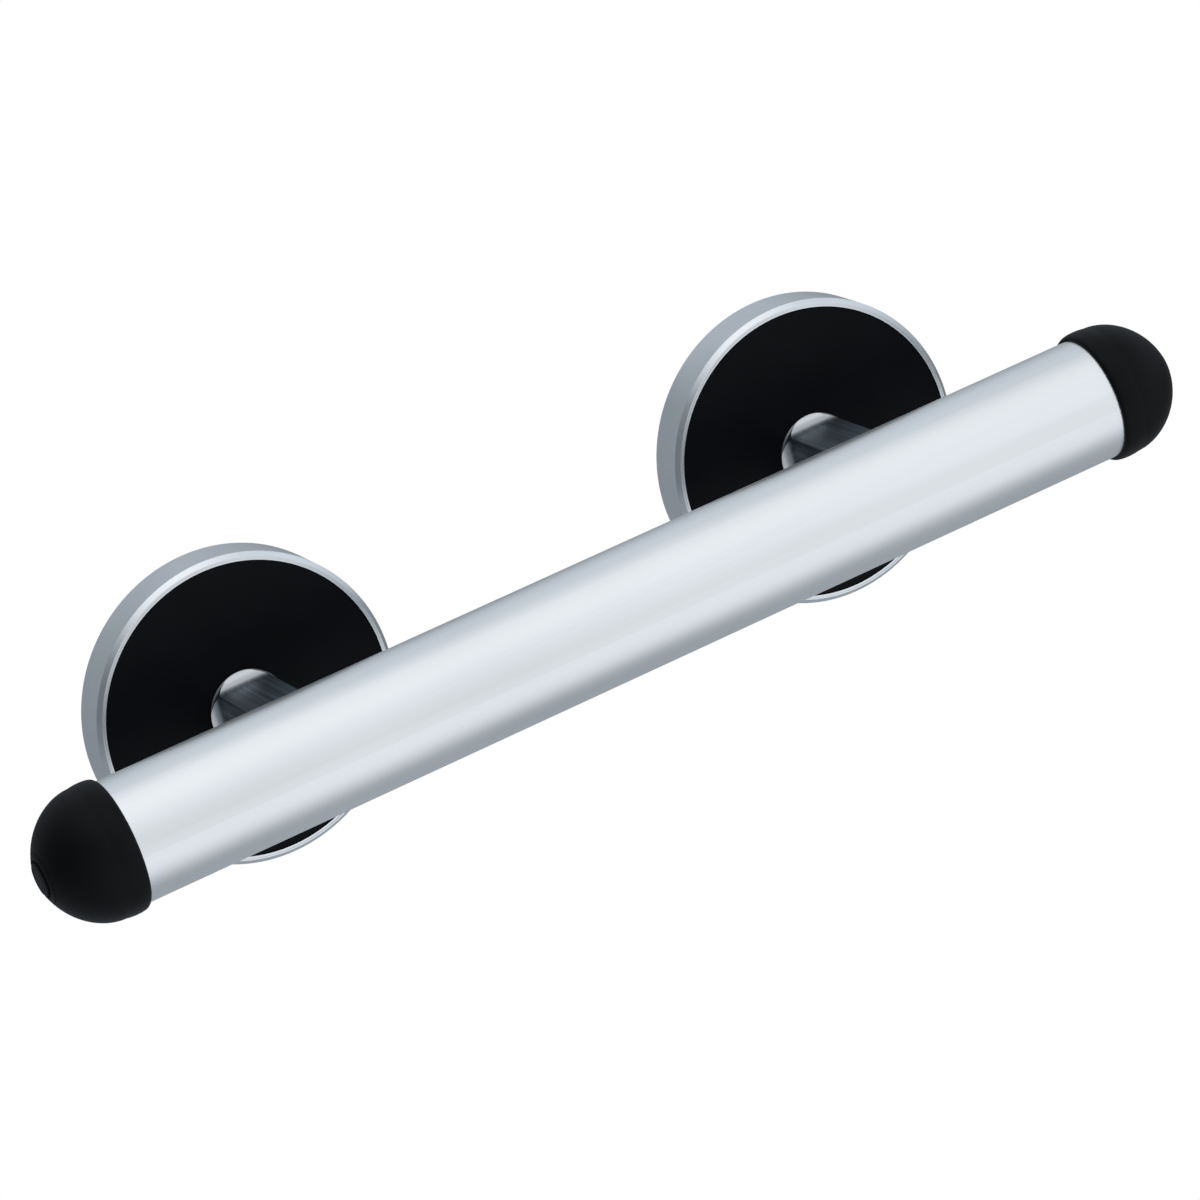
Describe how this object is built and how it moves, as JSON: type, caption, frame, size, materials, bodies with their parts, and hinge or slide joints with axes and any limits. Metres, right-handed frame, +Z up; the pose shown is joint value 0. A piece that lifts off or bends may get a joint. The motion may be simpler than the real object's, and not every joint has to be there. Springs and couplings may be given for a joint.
{
  "type": "suction grab bar",
  "caption": "Straight round grab bar on square posts and round suction feet, each with a twist-lock ring that lifts the middle of a rubber cup, for smooth walls.",
  "frame": {"origin": "on the wall surface, midway between the centres of the two feet", "axes": "+X along the bar, +Y into the wall, +Z up; the wall is the plane y = 0 and the room is on the -Y side"},
  "size_m": [0.3534, 0.0873, 0.0878],
  "materials": {
    "bar_aluminium": "satin anodised",
    "bezel_aluminium": "satin anodised",
    "post_metal": "polished",
    "block_aluminium": "as machined",
    "polished_steel": "polished",
    "bolt_steel": "zinc plated",
    "spring_steel": "plain",
    "face_gloss_black": "gloss",
    "cap_black": "matt",
    "cup_rubber": "matt",
    "housing_plastic": "moulded",
    "cam_plastic": "moulded",
    "plate_plastic": "moulded",
    "washer_plastic": "smooth"
  },
  "bodies": {
    "bar": {"bar_tube": "bar_aluminium", "left_suction_cup": "cup_rubber", "left_return_spring": "spring_steel", "left_base_housing": "housing_plastic", "left_slide_washer": "washer_plastic", "left_thrust_washer": "polished_steel", "left_post": "post_metal", "left_post_dowels": "polished_steel", "left_saddle_gasket": "cup_rubber", "left_bolt_washer": "polished_steel", "left_through_bolt": "bolt_steel", "left_tube_nut_block": "block_aluminium", "left_end_cap": "cap_black", "left_cap_badge": "cap_black", "right_suction_cup": "cup_rubber", "right_return_spring": "spring_steel", "right_base_housing": "housing_plastic", "right_slide_washer": "washer_plastic", "right_thrust_washer": "polished_steel", "right_post": "post_metal", "right_post_dowels": "polished_steel", "right_saddle_gasket": "cup_rubber", "right_bolt_washer": "polished_steel", "right_through_bolt": "bolt_steel", "right_tube_nut_block": "block_aluminium", "right_end_cap": "cap_black", "right_cap_badge": "cap_black"},
    "left_ring": {"left_cam_ring": "cam_plastic", "left_face_plate": "face_gloss_black", "left_cover_screws": "bolt_steel", "left_bezel_ring": "bezel_aluminium"},
    "left_lift": {"left_lift_plate": "plate_plastic", "left_lift_pins": "polished_steel"},
    "right_ring": {"right_cam_ring": "cam_plastic", "right_face_plate": "face_gloss_black", "right_cover_screws": "bolt_steel", "right_bezel_ring": "bezel_aluminium"},
    "right_lift": {"right_lift_plate": "plate_plastic", "right_lift_pins": "polished_steel"}
  },
  "joints": [
    {"name": "left_ring_turn", "type": "hinge", "parent": "bar", "child": "left_ring", "pos_m": [-0.0915, 0, 0], "axis": [0, 1, 0], "range_deg": [0, 90]},
    {"name": "left_plate_lift", "type": "slide", "parent": "bar", "child": "left_lift", "axis": [0, -1, 0], "range_m": [0, 0.0025], "deforming": ["left_suction_cup", "left_return_spring"]},
    {"name": "right_ring_turn", "type": "hinge", "parent": "bar", "child": "right_ring", "pos_m": [0.0915, 0, 0], "axis": [0, 1, 0], "range_deg": [0, 90]},
    {"name": "right_plate_lift", "type": "slide", "parent": "bar", "child": "right_lift", "axis": [0, -1, 0], "range_m": [0, 0.0025], "deforming": ["right_suction_cup", "right_return_spring"]}
  ],
  "couplings": [
    {"joint": "left_plate_lift", "follows": "left_ring_turn", "m_per_rad": 0.0015915},
    {"joint": "right_plate_lift", "follows": "right_ring_turn", "m_per_rad": 0.0015915}
  ]
}
